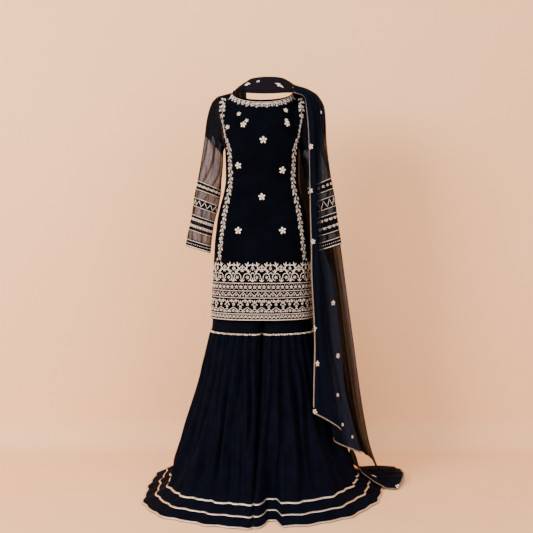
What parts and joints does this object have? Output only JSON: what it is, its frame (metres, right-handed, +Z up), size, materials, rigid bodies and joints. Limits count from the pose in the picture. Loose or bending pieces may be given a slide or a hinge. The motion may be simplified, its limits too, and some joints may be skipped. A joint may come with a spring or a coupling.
{
  "type": "farshi gharara suit",
  "caption": "Worn-form suit: embroidered straight kurti with net sleeves, gathered floor-length gharara legs and a long net dupatta over one shoulder.",
  "frame": {"origin": "middle of the shoulder line, where the wearer's shoulders hold the suit", "axes": "+Z up, the front of the suit looks along -Y, the wearer's right side is at -X"},
  "size_m": [0.9847, 0.8329, 1.5247],
  "materials": {
    "kurti_velvet": "velvet, very dark navy, with silver thread and bead embroidery",
    "sleeve_net": "sheer navy net",
    "gharara_georgette": "matt navy georgette",
    "dupatta_net": "sheer navy net with small silver flowers",
    "gota_ribbon": "woven metallic silver ribbon",
    "dupatta_edging": "dull silver sequinned edging"
  },
  "bodies": {
    "root": {"kurti_front": "kurti_velvet", "kurti_back": "kurti_velvet", "sleeve_right": "sleeve_net", "sleeve_left": "sleeve_net", "sleeve_cap_right": "sleeve_net", "sleeve_cap_left": "sleeve_net", "waistband": "gharara_georgette", "thigh_right_front": "gharara_georgette", "thigh_right_back": "gharara_georgette", "thigh_left_front": "gharara_georgette", "thigh_left_back": "gharara_georgette", "flare_right_front": "gharara_georgette", "flare_right_back": "gharara_georgette", "flare_left_front": "gharara_georgette", "flare_left_back": "gharara_georgette", "ribbon_knee_right": "gota_ribbon", "ribbon_upper_right": "gota_ribbon", "ribbon_middle_right": "gota_ribbon", "ribbon_hem_right": "gota_ribbon", "ribbon_knee_left": "gota_ribbon", "ribbon_upper_left": "gota_ribbon", "ribbon_middle_left": "gota_ribbon", "ribbon_hem_left": "gota_ribbon", "dupatta_neck": "dupatta_net", "dupatta_back_end": "dupatta_net", "dupatta_front_fall": "dupatta_net", "dupatta_back_fall": "dupatta_net", "dupatta_tail": "dupatta_net", "edging_front": "dupatta_edging", "edging_cut_end": "dupatta_edging", "edging_tail_front": "dupatta_edging", "edging_tail_end": "dupatta_edging"}
  },
  "joints": []
}
